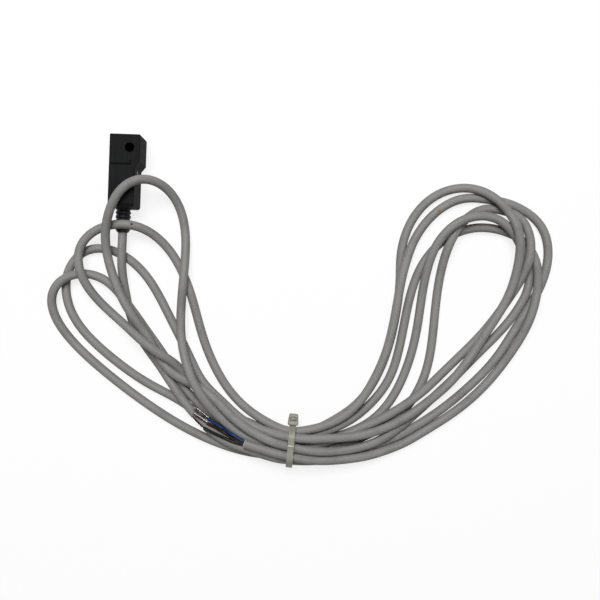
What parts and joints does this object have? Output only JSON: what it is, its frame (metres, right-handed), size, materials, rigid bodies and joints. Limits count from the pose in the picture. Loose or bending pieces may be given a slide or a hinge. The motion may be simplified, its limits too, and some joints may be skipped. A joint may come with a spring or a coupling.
{
  "type": "cylinder sensor switch",
  "caption": "Small moulded position sensor for pneumatic cylinders with a screw lug, a ribbed boot and a lead gathered in loops by a cable tie.",
  "frame": {"origin": "axis of the mounting screw hole, on the back face of the head", "axes": "+Z out of the front face, +Y away from the cable, +X towards the lug"},
  "size_m": [0.1877, 0.1194, 0.016],
  "materials": {
    "housing_plastic": "matt, fine grained",
    "resin": "smooth",
    "board_laminate": "satin",
    "component_plastic": "matt",
    "ceramic": "satin",
    "lamp_resin": "clear",
    "window_plastic": "clear",
    "solder": "bright",
    "boot_plastic": "matt",
    "cable_jacket": "satin, slightly dirty",
    "blue_insulation": "satin",
    "brown_insulation": "satin",
    "black_insulation": "satin",
    "copper_strands": "bright, tinned in places",
    "tie_nylon": "translucent"
  },
  "bodies": {
    "root": {"housing": "housing_plastic", "potting_fill": "resin", "circuit_board": "board_laminate", "sensing_chip": "component_plastic", "output_transistor": "component_plastic", "surge_diode": "component_plastic", "series_resistor": "component_plastic", "filter_capacitor": "ceramic", "indicator_lamp": "lamp_resin", "indicator_window": "window_plastic", "solder_joints": "solder", "blue_core_inner": "blue_insulation", "brown_core_inner": "brown_insulation", "black_core_inner": "black_insulation", "strain_relief_boot": "boot_plastic", "sensor_lead": "cable_jacket", "cable_over_head": "cable_jacket", "cable_over_boot": "cable_jacket", "cable_hank": "cable_jacket", "cable_tail": "cable_jacket", "blue_core_end": "blue_insulation", "brown_core_end": "brown_insulation", "black_core_end": "black_insulation", "blue_strands": "copper_strands", "brown_strands": "copper_strands", "black_strands": "copper_strands", "cable_tie": "tie_nylon"}
  },
  "joints": []
}
